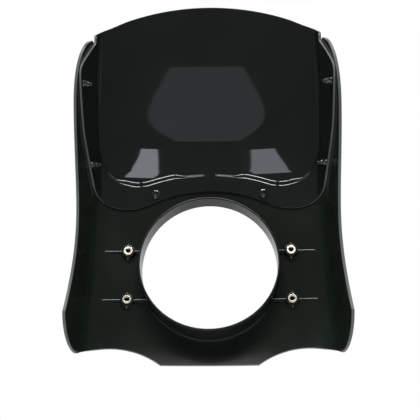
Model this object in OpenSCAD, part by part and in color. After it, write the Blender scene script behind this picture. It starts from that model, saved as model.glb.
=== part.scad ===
// Headlight cowl: a moulded shell with a collar for the headlamp, a smoked windscreen held by six
// screws, and four threaded inserts for the fork brackets. The headlamp looks along -Y, the rider
// sits at +Y, and the origin is on the headlamp's axis at the rear rim of the collar.

/* [Headlamp collar] */
// Diameter of the hole that takes the headlamp
bore_d = 166; // [150:1:172]
// Wall of the collar round that hole
collar_wall = 2.5; // [2:0.5:4]
// Bevel on both edges of the collar's rear rim
rim_bevel = 0.6; // [0.2:0.1:1]

/* [Walls] */
// Thickness of the moulded shell
shell_wall = 3.5; // [2.5:0.5:5]
// Thickness of the windscreen
screen_wall = 2.5; // [2:0.5:3]
// Gap left between the windscreen's flange and the shell
flange_gap = 0.3; // [0.2:0.1:0.6]

/* [Section across the cowl] */
// Radius of the broad front face
front_r = 900; // [600:10:1500]
// Inner radius of the bend between the front and the side wall
bend_r = 28; // [20:1:36]
// Angle of the side walls, measured from the broad front
side_angle = 78; // [70:1:84]
// Inner width between the bends at the waist
waist_w = 289; // [280:1:300]
// Slope by which the walls spread towards the bottom
wing_slope = 3.6; // [2:0.2:6]
// Height at which they begin to spread
wing_z = 57; // [30:1:80]
// Slope by which the walls close towards the top
crown_slope = 10; // [4:0.5:14]
// Height at which they begin to close
crown_z = 217; // [195:1:235]

/* [Side view] */
// Distance of the front face ahead of the collar's rim, on the headlamp's axis
face_depth = 33; // [28:1:38]
// Backward rake of the front face
face_rake = 7.5; // [4:0.5:10]
// Backward lean of the windscreen
screen_lean = 36; // [28:1:42]
// Height of the bend between the front face and the windscreen
brow_z = 132; // [122:1:140]
// Length over which that bend is blended
brow_blend = 30; // [25:1:60]
// Inward curl of the chin
chin_curl = 11; // [0:1:20]
// Height at which the chin begins to curl
chin_z = -93; // [-105:1:-85]

/* [Outer outline] */
// Depth of the bottom edge below the headlamp's axis
bottom_z = -116.5; // [-122:0.5:-112]
// Radius of the arched notch between the chin and each wing
notch_r = 97; // [85:1:115]
// Distance of the notch's crown from the centre line, along the skin
notch_s = 116; // [112:1:122]
// Height of the notch's crown
notch_z = -97.5; // [-102:0.5:-94]
// Distance of each wing's lowest point from the centre line, along the skin
wing_tip_s = 161; // [157:1:165]
// Radius of the wing's lower edge
wing_r = 48; // [46:1:52]
// Girth from the centre line to the side edge at the waist
waist_s = 189; // [183:1:193]
// Girth from the centre line to the side edge at the arms
arm_s = 209; // [205:1:215]
// Girth from the centre line to the side edge at the wings
wing_s = 209; // [203:1:212]
// Height of the narrowest girth
waist_z = 22; // [10:1:30]
// Height at which the arms reach their full girth
arm_z = 152; // [140:1:158]
// Height at which the shoulder of each arm begins
shoulder_z = 159; // [152:1:162]
// Radius of the shoulder
shoulder_r = 98; // [94:1:110]
// Height of the arm's tip
tip_z = 246.5; // [238:0.5:248.5]

/* [Opening for the windscreen] */
// Half width of the opening, along the skin
open_s = 145; // [138:1:148]
// Height of the opening's lower edge on the centre line
open_z = 118.5; // [115:0.5:122]
// Radius of the arched lower edge
open_arch_r = 220; // [180:5:280]
// Radius of the lower corners
open_corner_r = 54; // [46:1:62]

/* [Windscreen] */
// Height of the top edge on the centre line
screen_top_z = 294; // [280:1:308]
// Radius of the top edge
screen_top_r = 330; // [300:5:400]
// Half length of that arc
screen_crown_s = 95; // [80:1:105]
// Radius of the upper corners
screen_crown_r = 130; // [120:5:150]
// Half width of the top edge
screen_top_s = 147; // [146:1:149]
// Slope of the shoulders below the upper corners
screen_shoulder = 40; // [36:1:46]
// Height of the lower edge on the centre line
screen_low_z = 100.5; // [98:0.5:103]
// Radius of the arch over the collar
screen_arch_r = 165; // [140:5:200]
// Radius of the lower corners
screen_corner_r = 67; // [60:1:73]
// Height of the lowest point of the lower edge
screen_foot_z = 75.5; // [73:0.5:79]
// Outward lean of the side edges above the lower corners
screen_side_lean = 40; // [34:1:42]
// Outward lean of the side edges along the arms
screen_arm_lean = 9; // [6:1:12]
// Height at which one lean turns into the other
screen_knee_z = 143; // [139:1:147]
// Width of the step that brings the screen flush with the shell
step_w = 5; // [4:0.5:7]
// Extra width of the step at the upper corners, where it runs out
step_spread = 18; // [10:1:24]
// Gap between that step and the opening's edge
step_gap = 0.5; // [0.3:0.1:1]

/* [Windscreen fasteners] */
// Thread diameter of the screws
screw_d = 5; // [4:0.5:6]
// Clearance of the screws in their holes, on the diameter
screw_clearance = 1; // [0.5:0.1:1.5]
// Diameter of the button heads
head_d = 9.5; // [8:0.5:11]
// Height of the button heads
head_h = 2.8; // [2:0.1:3.5]
// Width across the flats of the key socket in each head
socket_w = 3; // [2.5:0.5:4]
// Diameter of the washers
washer_d = 10; // [9.5:0.5:11]
// Thickness of the washers
washer_h = 1; // [0.8:0.1:1.6]
// Width across the flats of the nuts
nut_w = 8; // [7:0.5:10]
// Height of the hexagon of the nuts
nut_h = 4.5; // [3:0.5:5]
// Height of the locking collar on the nuts
nut_collar_h = 1.4; // [0.8:0.1:2]
// Length of thread that shows beyond the nuts
thread_out = 3.5; // [1:0.5:5]
// Play between the thread and the nuts, on the diameter
thread_play = 0.1; // [0.05:0.05:0.2]
// Gap under a washer where it seats
seat_gap = 0.1; // [0.05:0.05:0.3]
// Heights of the upper and lower side screws
side_screw_z = [192, 118];
// Distance of the upper and lower side screws from the screen's side edge, along the skin
side_screw_inset = [10.5, 8];
// Distance of the front screws from the centre line
front_screw_s = 67.5; // [60:0.5:74]
// Distance of the front screws from the opening's edge
front_screw_inset = 12.5; // [10:0.5:13]

/* [Bracket inserts] */
// Distance between the left and the right inserts
insert_dx = 200; // [194:1:206]
// Distance between the upper and the lower inserts
insert_dz = 60; // [54:1:66]
// Height of the middle of the four inserts
insert_z = -8.5; // [-14:0.5:-4]
// Tapping diameter of the thread in each insert
insert_bore_d = 5; // [4:0.1:5.5]
// Diameter of the insert's body
insert_d = 8.5; // [7.5:0.5:9]
// Length of the insert's body
insert_len = 6.5; // [5:0.5:7]
// Diameter of the insert's flange
insert_flange_d = 11; // [10:0.5:12]
// Thickness of the insert's flange
insert_flange_h = 1; // [0.6:0.1:1.5]
// Diameter of the boss round each insert
boss_d = 16; // [14:0.5:18]
// Height of each boss above the skin
boss_h = 5; // [4:0.5:7]
// Thickness of the ribs through the bosses
rib_w = 1.4; // [1:0.1:2]
// Drop of the ribs below the boss faces
rib_drop = 0.8; // [0.4:0.1:1.5]
// Distance of the outer rib ends from the centre line
rib_reach = 131; // [125:1:133]
// Half length of the upright ribs
rib_half = 10; // [9:0.5:14]

/* [Hidden] */
$fn = 96;
bore_r = bore_d / 2;
// Softness of the bends that join straight runs of the side view and of the walls
chin_blend = 30;
wing_blend = 60;
crown_blend = 50;
screen_shoulder_blend = 10;
screen_knee_blend = 12;
step_fade_z = 192;
// Margins of the block that trims the collar, bosses and ribs
trim_low = 11;
trim_high = 20;
// Length of the tool that cuts the headlamp's hole
bore_tool = 100;
black_shell = [0.13, 0.14, 0.13];
smoke = [0.10, 0.11, 0.12, 0.85];
nickel = [0.85, 0.83, 0.76];
black_zinc = [0.09, 0.09, 0.10];
black_nylon = [0.06, 0.06, 0.06];

// Smooth ramp: zero for u well below 0, and u well above it
function ramp(u, r) = (u + sqrt(u * u + r * r)) / 2;
function mix(a, b, t) = a + (b - a) * t;
function clamp(v, lo, hi) = min(max(v, lo), hi);

// Y of the inner skin on the centre line
function nose_y(z) =
    -face_depth + z * tan(face_rake)
    + (tan(screen_lean) - tan(face_rake)) * ramp(z - brow_z, brow_blend)
    + (tan(face_rake) + tan(chin_curl)) * ramp(chin_z - z, chin_blend);

// X where the bend ends and the side wall begins
function wall_x(z) =
    waist_w / 2
    + tan(wing_slope) * ramp(wing_z - z, wing_blend)
    - tan(crown_slope) * ramp(z - crown_z, crown_blend);

// Angle, and girth from the centre line, where the bend begins and ends
function bend_angle(z) = asin((wall_x(z) - bend_r * sin(side_angle)) / (front_r - bend_r));
function bend_start(z) = front_r * bend_angle(z) * PI / 180;
function bend_end(z) = bend_start(z) + bend_r * (side_angle - bend_angle(z)) * PI / 180;

// Point of the inner skin at girth s and height z
function skin(s, z) =
    let(a = abs(s), a1 = bend_angle(z), s1 = bend_start(z), s2 = bend_end(z))
    let(t1 = min(a, s1) / front_r * 180 / PI)
    let(t2 = a1 + (clamp(a, s1, s2) - s1) / bend_r * 180 / PI)
    let(d = max(a - s2, 0))
    let(x = front_r * sin(t1) + bend_r * (sin(t2) - sin(a1)) + d * cos(side_angle))
    let(y = front_r * (1 - cos(t1)) + bend_r * (cos(a1) - cos(t2)) + d * sin(side_angle))
    [s < 0 ? -x : x, nose_y(z) + y, z];

// Outward normal of the skin, and a point set off along it
function skin_normal(s, z) =
    let(e = 0.05, n = cross(skin(s + e, z) - skin(s - e, z), skin(s, z + e) - skin(s, z - e)))
    n / norm(n);
function skin_at(s, z, off) = skin(s, z) + off * skin_normal(s, z);

// Girth of the side edge at height z: wing, waist, arm and round shoulder
function ease(t) = (1 - cos(180 * clamp(t, 0, 1))) / 2;
function rim_s(z) =
    z < waist_z ? mix(waist_s, wing_s, 1 - cos(90 * (waist_z - z) / (waist_z - notch_z - 20)))
    : z < shoulder_z ? mix(waist_s, arm_s, ease((z - waist_z) / (arm_z - waist_z)))
    : arm_s - shoulder_r + sqrt(max(0, shoulder_r * shoulder_r - pow(z - shoulder_z, 2)));

// Height of the bottom edge at girth s: chin, arched notch and rounded wing
chin_half = notch_s - sqrt(pow(notch_r, 2) - pow(notch_r + bottom_z - notch_z, 2));
wing_tip_z = notch_z - notch_r + sqrt(pow(notch_r, 2) - pow(wing_tip_s - notch_s, 2));
wing_c = [wing_tip_s, wing_tip_z + wing_r];
function bottom_edge(s) =
    s < wing_tip_s
        ? (s < chin_half ? bottom_z
            : notch_z - notch_r + sqrt(max(0, notch_r * notch_r - pow(s - notch_s, 2))))
        : wing_c[1] - sqrt(max(0, wing_r * wing_r - pow(s - wing_c[0], 2)));

// The opening's edge: an arch and a corner arc that touch, then a straight side. A positive off
// is a line inside the opening, at that distance.
open_turn = asin((open_s - open_corner_r) / (open_arch_r + open_corner_r));
open_cs = open_s - open_corner_r;
open_cz = open_z - open_arch_r + (open_arch_r + open_corner_r) * cos(open_turn);
function open_edge_z(s, off = 0) =
    s < open_arch_r * sin(open_turn)
        ? open_z - open_arch_r + sqrt(pow(open_arch_r + off, 2) - s * s)
        : open_cz - sqrt(max(0, pow(open_corner_r - off, 2) - pow(s - open_cs, 2)));
function open_edge_s(z, off = 0) =
    z > open_cz ? open_s - off
    : open_cs + sqrt(max(0, pow(open_corner_r - off, 2) - pow(open_cz - z, 2)));
function open_corner_s(off = 0) = open_cs + (open_corner_r - off) * sin(45);
function open_corner_z(off = 0) = open_cz - (open_corner_r - off) * cos(45);

// The screen's outline: top arc, sloping shoulder, side, corner arc and arch over the collar
screen_cz = screen_foot_z + screen_corner_r;
screen_turn = acos((screen_cz - screen_low_z + screen_arch_r) / (screen_arch_r + screen_corner_r));
screen_cs = (screen_arch_r + screen_corner_r) * sin(screen_turn);
screen_side_z = screen_cz - screen_corner_r * sin(screen_side_lean);
screen_side_s = screen_cs + screen_corner_r * cos(screen_side_lean);
screen_crown_turn = asin(screen_crown_s / screen_top_r);
screen_crown_cs = screen_crown_s - screen_crown_r * sin(screen_crown_turn);
screen_crown_cz = screen_top_z - screen_top_r
    + (screen_top_r - screen_crown_r) * cos(screen_crown_turn);
function screen_top(s) =
    s < screen_crown_s
        ? screen_top_z - screen_top_r + sqrt(pow(screen_top_r, 2) - s * s)
        : screen_crown_cz + sqrt(pow(screen_crown_r, 2) - pow(s - screen_crown_cs, 2));
screen_tip_z = screen_top(screen_top_s);
function screen_low(s) =
    s < screen_arch_r * sin(screen_turn)
        ? screen_low_z - screen_arch_r + sqrt(pow(screen_arch_r, 2) - s * s)
        : screen_cz - sqrt(max(0, pow(screen_corner_r, 2) - pow(s - screen_cs, 2)));
function screen_side(z) =
    z < screen_side_z ? screen_cs + sqrt(max(0, pow(screen_corner_r, 2) - pow(screen_cz - z, 2)))
    : let(side = screen_side_s + (z - screen_side_z) * tan(screen_side_lean)
          - (tan(screen_side_lean) - tan(screen_arm_lean)) * ramp(z - screen_knee_z, screen_knee_blend))
      let(shoulder = screen_top_s + (screen_tip_z - z) / tan(screen_shoulder))
      side - ramp(side - shoulder, screen_shoulder_blend);
// Where the grid of the sheet turns from the lower edge into the side edge
screen_corner_s = screen_cs + screen_corner_r * sin(45);
screen_corner_z = screen_cz - screen_corner_r * cos(45);

// A number of equal steps from a to b, without b
function steps(a, b, n) = [for (k = [0 : n - 1]) mix(a, b, k / n)];

// Closed sheet from a grid of [s, z] and two grids of offsets. keep(i, j) says whether the cell
// between columns i and i + 1 and rows j and j + 1 belongs to it.
module sheet(grid, inner, outer, keep) {
    rows = len(grid);
    cols = len(grid[0]);
    count = rows * cols;
    points = [
        for (j = [0 : rows - 1]) for (i = [0 : cols - 1])
            skin_at(grid[j][i][0], grid[j][i][1], inner[j][i]),
        for (j = [0 : rows - 1]) for (i = [0 : cols - 1])
            skin_at(grid[j][i][0], grid[j][i][1], outer[j][i])
    ];
    function id(i, j) = j * cols + i;
    function has(i, j) = i >= 0 && j >= 0 && i < cols - 1 && j < rows - 1 && keep(i, j);
    // The diagonal of each cell runs the same way on both halves
    function cell(i, j, o) =
        let(a = id(i, j) + o, b = id(i + 1, j) + o, c = id(i + 1, j + 1) + o, d = id(i, j + 1) + o)
        2 * i < cols - 1 ? [[a, b, c], [a, c, d]] : [[a, b, d], [b, c, d]];
    function wall(p, q) = [[p, q, q + count], [p, q + count, p + count]];
    faces = [
        for (j = [0 : rows - 2]) for (i = [0 : cols - 2]) if (has(i, j)) each cell(i, j, 0),
        for (j = [0 : rows - 2]) for (i = [0 : cols - 2]) if (has(i, j))
            for (f = cell(i, j, count)) [f[0], f[2], f[1]],
        for (j = [0 : rows - 2]) for (i = [0 : cols - 2]) if (has(i, j)) each [
            if (!has(i, j - 1)) each wall(id(i + 1, j), id(i, j)),
            if (!has(i + 1, j)) each wall(id(i + 1, j + 1), id(i + 1, j)),
            if (!has(i, j + 1)) each wall(id(i, j + 1), id(i + 1, j + 1)),
            if (!has(i - 1, j)) each wall(id(i, j), id(i, j + 1))
        ]
    ];
    polyhedron(points, faces, 10);
}

// Mirrors a half row of [s, z] into a full one
function full_row(half) = [
    for (k = [len(half) - 1 : -1 : 1]) [-half[k][0], half[k][1]],
    each half
];
function full_values(half) = [for (k = [len(half) - 1 : -1 : 1]) half[k], each half];

// Columns of the shell at height z: chin, front, bend and side wall
front_cols = [6, 6];
side_cols = [8, 4];
inner_cols = front_cols[0] + front_cols[1];
body_rows = 20;
arm_rows = 12;
function body_columns(z, t) =
    let(k2 = mix(notch_s, open_corner_s(), t), k4 = rim_s(z))
    let(k3 = mix(wing_tip_s, bend_end(z), min(1, 2 * t)))
    [each steps(0, chin_half, front_cols[0]), each steps(chin_half, k2, front_cols[1]),
     each steps(k2, k3, side_cols[0]), each steps(k3, k4, side_cols[1]), k4];
function arm_columns(z) =
    let(k2 = open_edge_s(z), k4 = rim_s(z))
    let(k3 = mix(k2, k4, clamp((bend_end(z) - k2) / (k4 - k2), 0.25, 0.6)))
    [for (k = [1 : inner_cols]) 0, each steps(k2, k3, side_cols[0]),
     each steps(k3, k4, side_cols[1]), k4];
function seam_z(s) = s < open_corner_s() ? open_edge_z(s) : open_corner_z();
function body_z(s, t) = mix(bottom_edge(s), seam_z(s), t);
// Height and girth depend on each other, so each point is settled in a few rounds
function body_point(k, t, z, n) =
    let(s = body_columns(z, t)[k])
    n == 0 ? [s, body_z(s, t)] : body_point(k, t, mix(z, body_z(s, t), 0.6), n - 1);
function body_row(t) = [
    for (k = [0 : inner_cols + side_cols[0] + side_cols[1]])
        body_point(k, t, mix(notch_z, open_corner_z(), t), 9)
];
function arm_row(t) =
    let(z = mix(open_corner_z(), tip_z, t), c = arm_columns(z))
    [for (k = [0 : len(c) - 1]) [k < inner_cols ? 0 : c[k], z]];
shell_grid = [
    for (j = [0 : body_rows]) full_row(body_row(j / body_rows)),
    for (j = [1 : arm_rows]) full_row(arm_row(j / arm_rows))
];
function flat_values(grid, v) = [for (row = grid) [for (p = row) v]];

module shell_skin() {
    mid = inner_cols + side_cols[0] + side_cols[1];
    sheet(shell_grid, flat_values(shell_grid, 0), flat_values(shell_grid, shell_wall),
        function(i, j) j < body_rows || i < mid - inner_cols || i >= mid + inner_cols);
}

// Solid space behind the middle of the skin, which trims what is moulded onto its inner face
module behind_skin() {
    nx = 14;
    nz = 12;
    half_x = rib_reach + 4;
    low = bottom_z + trim_low;
    high = open_z - trim_high;
    reach = 40;
    function s_of(i) = mix(-half_x, half_x, i / nx);
    function z_of(j) = mix(low, high, j / nz);
    points = [
        for (j = [0 : nz]) for (i = [0 : nx]) skin_at(s_of(i), z_of(j), shell_wall / 2),
        for (j = [0 : nz]) for (i = [0 : nx])
            let(p = skin_at(s_of(i), z_of(j), shell_wall / 2)) [p[0], reach, p[2]]
    ];
    count = (nx + 1) * (nz + 1);
    function id(i, j) = j * (nx + 1) + i;
    faces = [
        for (j = [0 : nz - 1]) for (i = [0 : nx - 1]) each [
            [id(i, j), id(i + 1, j + 1), id(i + 1, j)],
            [id(i, j), id(i, j + 1), id(i + 1, j + 1)],
            [id(i, j) + count, id(i + 1, j) + count, id(i + 1, j + 1) + count],
            [id(i, j) + count, id(i + 1, j + 1) + count, id(i, j + 1) + count]
        ],
        for (i = [0 : nx - 1]) each [
            [id(i, 0), id(i + 1, 0), id(i + 1, 0) + count],
            [id(i, 0), id(i + 1, 0) + count, id(i, 0) + count],
            [id(i + 1, nz), id(i, nz), id(i, nz) + count],
            [id(i + 1, nz), id(i, nz) + count, id(i + 1, nz) + count]
        ],
        for (j = [0 : nz - 1]) each [
            [id(nx, j), id(nx, j + 1), id(nx, j + 1) + count],
            [id(nx, j), id(nx, j + 1) + count, id(nx, j) + count],
            [id(0, j + 1), id(0, j), id(0, j) + count],
            [id(0, j + 1), id(0, j) + count, id(0, j + 1) + count]
        ]
    ];
    polyhedron(points, faces, 10);
}

// Places its children with +Z along +Y, at x, z and depth y
module facing_rider(x, y, z) {
    translate([x, y, z]) rotate([-90, 0, 0]) children();
}

// Solid plug of the collar, with a bevelled rear rim
module collar_plug() {
    r = bore_r + collar_wall;
    deep = 60;
    facing_rider(0, -deep, 0) {
        cylinder(r = r, h = deep - rim_bevel);
        translate([0, 0, deep - rim_bevel]) cylinder(r1 = r, r2 = r - rim_bevel, h = rim_bevel);
    }
}

function insert_sites() = [
    for (sx = [-1, 1]) for (sz = [-1, 1]) [sx * insert_dx / 2, insert_z + sz * insert_dz / 2]
];
// Y of the boss face on the insert's axis; girth and x differ little on the broad front
function boss_face_y(z) = skin(insert_dx / 2, z)[1] + boss_h;

// Boss and crossed ribs of one insert
module insert_boss(x, z) {
    face = boss_face_y(z);
    deep = 30;
    side = x > 0 ? 1 : -1;
    inner_x = sqrt(max(1, pow(bore_r + collar_wall / 2, 2) - z * z));
    facing_rider(x, face - deep, z) cylinder(d = boss_d, h = deep);
    translate([side > 0 ? inner_x : -rib_reach, face - deep, z - rib_w / 2])
        cube([rib_reach - inner_x, deep - rib_drop, rib_w]);
    translate([x - rib_w / 2, face - deep, z - rib_half])
        cube([rib_w, deep - rib_drop, 2 * rib_half]);
}

// Stations of the screws, as [s, z]
screw_sites = [
    for (sx = [-1, 1]) each [
        for (k = [0 : 1])
            [sx * (screen_side(side_screw_z[k]) - side_screw_inset[k]), side_screw_z[k]],
        [sx * front_screw_s, open_edge_z(front_screw_s) - front_screw_inset]
    ]
];
// Lays +Z along the outward normal at a station, with the origin on the inner skin
module on_skin(site) {
    n = skin_normal(site[0], site[1]);
    p = skin(site[0], site[1]);
    translate(p) rotate([0, acos(n[2]), atan2(n[1], n[0])]) children();
}
// How far the skin rises past a flat washer, outwards for dir = 1 and inwards for dir = -1
function seat_rise(site, off, dir) =
    let(p = skin_at(site[0], site[1], off), n = skin_normal(site[0], site[1]), r = washer_d / 2)
    seat_gap + max([for (a = [0 : 30 : 330])
        dir * ((skin_at(site[0] + r * cos(a), site[1] + r * sin(a), off) - p) * n)]);
function head_seat(site) = shell_wall + max(seat_gap, seat_rise(site, shell_wall, 1));
function nut_seat(site) =
    let(off = -flange_gap - screen_wall)
    off - max(seat_gap, seat_rise(site, off, -1));

module cowl_shell() {
    color(black_shell)
    difference() {
        union() {
            shell_skin();
            intersection() {
                union() {
                    collar_plug();
                    for (p = insert_sites()) insert_boss(p[0], p[1]);
                }
                behind_skin();
            }
        }
        facing_rider(0, -bore_tool * 0.8, 0) cylinder(r = bore_r, h = bore_tool);
        facing_rider(0, -rim_bevel, 0)
            cylinder(r1 = bore_r, r2 = bore_r + rim_bevel + 0.01, h = rim_bevel + 0.01);
        for (p = insert_sites())
            facing_rider(p[0], boss_face_y(p[1]) - insert_len - 0.3, p[1])
                cylinder(d = insert_d, h = insert_len + 5);
        for (site = screw_sites)
            on_skin(site) translate([0, 0, -2])
                cylinder(d = screw_d + screw_clearance, h = shell_wall + 4);
    }
}

// Rows and columns of the screen: main pane, step and flange
pane_cols = 10;
step_cells = 3;
flange_cols = [3, 3];
flange_rows = 3;
pane_rows = 14;
step_in = step_gap + step_w;
function screen_columns(z) =
    let(fade = clamp((z - step_fade_z) / (screen_tip_z - step_fade_z), 0, 1))
    let(k1 = z > open_corner_z(step_in) ? open_edge_s(z, step_in) - step_spread * fade * fade
        : open_corner_s(step_in))
    let(k2 = z > open_corner_z(step_gap) ? open_edge_s(z, step_gap) : open_corner_s(step_gap))
    let(k4 = z > screen_corner_z ? screen_side(z) : screen_corner_s)
    let(tip = mix(k1, k4, 0.8), k2b = min(k2, tip), k3 = mix(k2b, k4, 0.4))
    [each steps(0, k1, pane_cols), each steps(k1, k2b, step_cells),
     each steps(k2b, k3, flange_cols[0]), each steps(k3, k4, flange_cols[1]), k4];
function step_row_z(s, off) = s < open_corner_s(off) ? open_edge_z(s, off) : open_corner_z(off);
function screen_rows(s) =
    let(low = s < screen_corner_s ? screen_low(s) : screen_corner_z)
    let(z2 = step_row_z(s, step_gap), z1 = step_row_z(s, step_in), top = screen_top(min(s, screen_top_s)))
    [each steps(low, z2, flange_rows), each steps(z2, z1, step_cells), each steps(z1, top, pane_rows),
     top];
function screen_point(i, j, z, n) =
    let(s = screen_columns(z)[i], z2 = screen_rows(s)[j])
    n == 0 ? [s, z2] : screen_point(i, j, mix(z, z2, 0.8), n - 1);
screen_cols = pane_cols + step_cells + flange_cols[0] + flange_cols[1];
screen_row_count = flange_rows + step_cells + pane_rows;
screen_half = [
    for (j = [0 : screen_row_count]) [
        for (i = [0 : screen_cols]) screen_point(i, j, screen_rows(60)[j], 9)
    ]
];
// Share of the step at column i and row j: 1 on the pane and 0 on the flange
function step_share(i, j) =
    let(a = clamp((pane_cols + step_cells - i) / step_cells, 0, 1))
    let(b = clamp((j - flange_rows) / step_cells, 0, 1))
    ease(min(a, b));
flange_off = -flange_gap - screen_wall;
pane_off = shell_wall - screen_wall;

module windscreen() {
    grid = [for (row = screen_half) full_row(row)];
    inner = [for (j = [0 : screen_row_count]) full_values(
        [for (i = [0 : screen_cols]) mix(flange_off, pane_off, step_share(i, j))])];
    outer = [for (row = inner) [for (v = row) v + screen_wall]];
    color(smoke)
    difference() {
        sheet(grid, inner, outer, function(i, j) true);
        for (site = screw_sites)
            on_skin(site) translate([0, 0, flange_off - 2])
                cylinder(d = screw_d + screw_clearance, h = screen_wall + 4);
    }
}

module threaded_inserts() {
    color(nickel)
    for (p = insert_sites()) facing_rider(p[0], boss_face_y(p[1]), p[1])
        difference() {
            union() {
                translate([0, 0, -insert_len]) cylinder(d = insert_d, h = insert_len);
                cylinder(d = insert_flange_d, h = insert_flange_h);
            }
            translate([0, 0, -insert_len - 1])
                cylinder(d = insert_bore_d, h = insert_len + insert_flange_h + 2);
        }
}

// One button-head screw; z0 is the seat of its head and z1 the tip of its thread
module button_screw(z0, z1) {
    dome_r = (pow(head_d / 2, 2) + pow(head_h * 0.8, 2)) / (2 * head_h * 0.8);
    translate([0, 0, z1]) cylinder(d = screw_d, h = z0 - z1 + 0.1);
    difference() {
        translate([0, 0, z0]) intersection() {
            cylinder(d = head_d, h = head_h);
            translate([0, 0, head_h - dome_r]) sphere(r = dome_r);
        }
        translate([0, 0, z0 + head_h * 0.4]) cylinder(d = socket_w / cos(30), h = head_h, $fn = 6);
    }
}

module screen_screws() {
    color(black_zinc)
    for (site = screw_sites) on_skin(site)
        button_screw(head_seat(site) + washer_h,
            nut_seat(site) - washer_h - nut_h - nut_collar_h - thread_out);
}

module washer() {
    difference() {
        cylinder(d = washer_d, h = washer_h);
        translate([0, 0, -1]) cylinder(d = screw_d + screw_clearance / 2, h = washer_h + 2);
    }
}

module head_washers() {
    color(black_nylon)
    for (site = screw_sites) on_skin(site) translate([0, 0, head_seat(site)]) washer();
}

module nut_washers() {
    color(black_zinc)
    for (site = screw_sites) on_skin(site) translate([0, 0, nut_seat(site) - washer_h]) washer();
}

// Locking nut that hangs below z = 0, with its round collar at the free end
module lock_nut() {
    difference() {
        union() {
            translate([0, 0, -nut_h]) cylinder(d = nut_w / cos(30), h = nut_h, $fn = 6);
            translate([0, 0, -nut_h - nut_collar_h]) cylinder(d = nut_w * 0.9, h = nut_collar_h + 0.1);
        }
        translate([0, 0, -nut_h - nut_collar_h - 1])
            cylinder(d = screw_d + thread_play, h = nut_h + nut_collar_h + 2);
    }
}

module lock_nuts() {
    color(black_zinc)
    for (site = screw_sites) on_skin(site) translate([0, 0, nut_seat(site) - washer_h]) lock_nut();
}

cowl_shell();
windscreen();
threaded_inserts();
screen_screws();
head_washers();
nut_washers();
lock_nuts();
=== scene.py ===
import math

import bmesh
import bpy
import numpy as np
from mathutils import Matrix, Vector


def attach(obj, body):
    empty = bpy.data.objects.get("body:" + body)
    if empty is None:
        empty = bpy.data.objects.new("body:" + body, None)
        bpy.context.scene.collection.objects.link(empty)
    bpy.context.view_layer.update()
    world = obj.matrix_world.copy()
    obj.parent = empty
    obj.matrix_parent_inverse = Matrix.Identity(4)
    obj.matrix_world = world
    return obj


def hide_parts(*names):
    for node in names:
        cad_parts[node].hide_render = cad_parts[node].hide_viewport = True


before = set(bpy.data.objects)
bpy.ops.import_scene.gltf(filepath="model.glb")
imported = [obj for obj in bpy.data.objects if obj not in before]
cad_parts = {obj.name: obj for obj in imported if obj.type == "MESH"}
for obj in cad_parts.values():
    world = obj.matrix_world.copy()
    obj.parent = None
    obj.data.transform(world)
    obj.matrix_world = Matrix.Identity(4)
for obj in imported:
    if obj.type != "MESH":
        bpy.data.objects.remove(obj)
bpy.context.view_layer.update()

MM = 0.001

# Sizes in millimetres, from the part's source; a few of them differ from it
BORE_R = 83.0
COLLAR_WALL = 2.5
RIM_ROUND = 0.8
SHELL_WALL = 3.5
SCREEN_WALL = 2.5
FLANGE_GAP = 0.3
FRONT_R = 900.0
BEND_R = 28.0
SIDE_ANGLE = math.radians(78)
WAIST_W = 289.0
FACE_DEPTH = 33.0
FACE_RAKE, SCREEN_LEAN, BROW_Z, BROW_BLEND = 7.5, 36.0, 132.0, 30.0
CHIN_CURL, CHIN_Z, CHIN_BLEND = 11.0, -93.0, 30.0
WING_SLOPE, WING_Z, WING_BLEND, WING_RISE = 3.6, 57.0, 60.0, 20.0
CROWN_SLOPE, CROWN_Z, CROWN_BLEND = 10.0, 217.0, 50.0
BOTTOM_Z = -116.5
NOTCH_R, NOTCH_S, NOTCH_Z = 97.0, 116.0, -97.5
WING_TIP_S, WING_R = 161.0, 48.0
WAIST_S, ARM_S, WING_S = 189.0, 209.0, 209.0
WAIST_Z, ARM_Z, SHOULDER_Z = 22.0, 152.0, 159.0
SHOULDER_R = 98.0
TIP_Z = 246.5
OPEN_S, OPEN_Z, OPEN_ARCH_R, OPEN_CORNER_R = 145.0, 118.5, 220.0, 54.0
OPEN_FLARE, FLARE_Z, FLARE_H = 4.0, 150.0, 60.0
SCREEN_TOP_Z, SCREEN_TOP_R, SCREEN_CROWN_S, SCREEN_CROWN_R = 294.0, 330.0, 95.0, 160.0
SCREEN_TOP_S, SHOULDER_S = 149.0, 143.5
SCREEN_SHOULDER = math.radians(40)
SCREEN_LOW_Z, SCREEN_ARCH_R, SCREEN_CORNER_R, SCREEN_FOOT_Z = 100.5, 165.0, 67.0, 75.5
SCREEN_SIDE_LEAN, SCREEN_ARM_LEAN, SCREEN_KNEE_Z = math.radians(40), math.radians(9), 143.0
KNEE_BLEND, SHOULDER_BLEND = 12.0, 10.0
STEP_W, STEP_CRISP, STEP_SPREAD, STEP_GAP, STEP_FADE_Z = 8.5, 3.2, 3.0, 0.5, 192.0
STEP_SOFT_S = (30.0, 46.0, 104.0, 118.0)
SCREW_D, HEAD_D, HEAD_H, SOCKET_W = 5.0, 9.5, 2.8, 3.0
SCREW_PITCH, SCREW_CUT, INSERT_PITCH, INSERT_CUT = 0.8, 0.45, 1.0, 0.42
WASHER_D, WASHER_H, NUT_W, NUT_H, NUT_COLLAR_H = 10.0, 1.0, 8.0, 4.5, 1.4
THREAD_OUT, SEAT_GAP = 3.5, 0.1
SIDE_SCREW_Z, SIDE_SCREW_INSET = (192.0, 118.0), (10.5, 8.0)
FRONT_SCREW_S, FRONT_SCREW_INSET = 67.5, 12.5
INSERT_DX, INSERT_DZ, INSERT_Z = 200.0, 60.0, -8.5
INSERT_BORE_D, INSERT_D, INSERT_LEN = 5.0, 8.5, 6.5
INSERT_FLANGE_D, INSERT_FLANGE_H = 11.0, 1.0
BOSS_D, BOSS_H, RIB_W, RIB_DROP, RIB_REACH, RIB_HALF = 16.0, 5.0, 1.4, 0.8, 131.0, 10.0


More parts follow.
